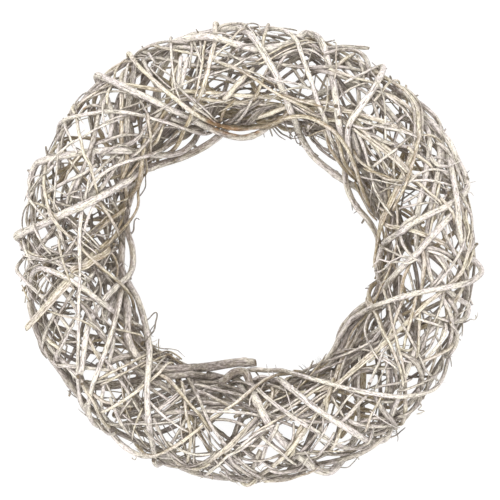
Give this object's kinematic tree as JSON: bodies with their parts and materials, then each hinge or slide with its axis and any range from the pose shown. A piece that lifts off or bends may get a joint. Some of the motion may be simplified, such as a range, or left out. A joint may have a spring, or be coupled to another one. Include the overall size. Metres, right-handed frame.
{
  "type": "rattan wreath",
  "caption": "Open ring wreath wound loosely from whitewashed rattan vines and split canes, lying flat, with an open round middle.",
  "frame": {"origin": "middle of the wreath's box, at the height of the surface that it lies on", "axes": "+Z along the ring's axis, towards the front that the picture shows; +Y towards the top of the picture; +X to its right"},
  "size_m": [0.4026, 0.3984, 0.0913],
  "materials": {
    "white_vine": "matt, whitewashed over grey-brown bark",
    "grey_vine": "matt, thinly whitewashed grey-brown bark",
    "tan_cane": "matt, whitewashed split cane with tan grooves",
    "core_vine": "matt, bare grey-brown bark"
  },
  "bodies": {
    "root": {"core_vine_01": "core_vine", "core_vine_02": "core_vine", "core_vine_03": "core_vine", "core_vine_04": "core_vine", "core_vine_05": "grey_vine", "core_vine_06": "grey_vine", "core_vine_07": "grey_vine", "split_cane_01": "tan_cane", "split_cane_02": "tan_cane", "split_cane_03": "tan_cane", "split_cane_04": "white_vine", "split_cane_05": "tan_cane", "split_cane_06": "tan_cane", "split_cane_07": "grey_vine", "split_cane_08": "tan_cane", "thick_vine_01": "white_vine", "thick_vine_02": "white_vine", "thick_vine_03": "white_vine", "thick_vine_04": "white_vine", "thick_vine_05": "white_vine", "thick_vine_06": "white_vine", "thick_vine_07": "white_vine", "thick_vine_08": "white_vine", "thick_vine_09": "white_vine", "thick_vine_10": "white_vine", "thick_vine_11": "white_vine", "thick_vine_12": "white_vine", "thick_vine_13": "white_vine", "thick_vine_14": "core_vine", "thin_vine_01": "white_vine", "thin_vine_02": "white_vine", "thin_vine_03": "tan_cane", "thin_vine_04": "tan_cane", "thin_vine_05": "grey_vine", "thin_vine_06": "white_vine", "thin_vine_07": "white_vine", "thin_vine_08": "tan_cane", "thin_vine_09": "white_vine", "thin_vine_10": "tan_cane", "thin_vine_11": "grey_vine", "thin_vine_12": "tan_cane", "thin_vine_13": "grey_vine", "vine_01": "tan_cane", "vine_02": "white_vine", "vine_03": "white_vine", "vine_04": "white_vine", "vine_05": "white_vine", "vine_06": "tan_cane", "vine_07": "tan_cane", "vine_08": "tan_cane", "vine_09": "grey_vine", "vine_10": "tan_cane", "vine_11": "white_vine", "vine_12": "tan_cane", "vine_13": "grey_vine", "vine_14": "grey_vine", "vine_15": "grey_vine", "vine_16": "white_vine", "vine_17": "grey_vine"}
  },
  "joints": []
}
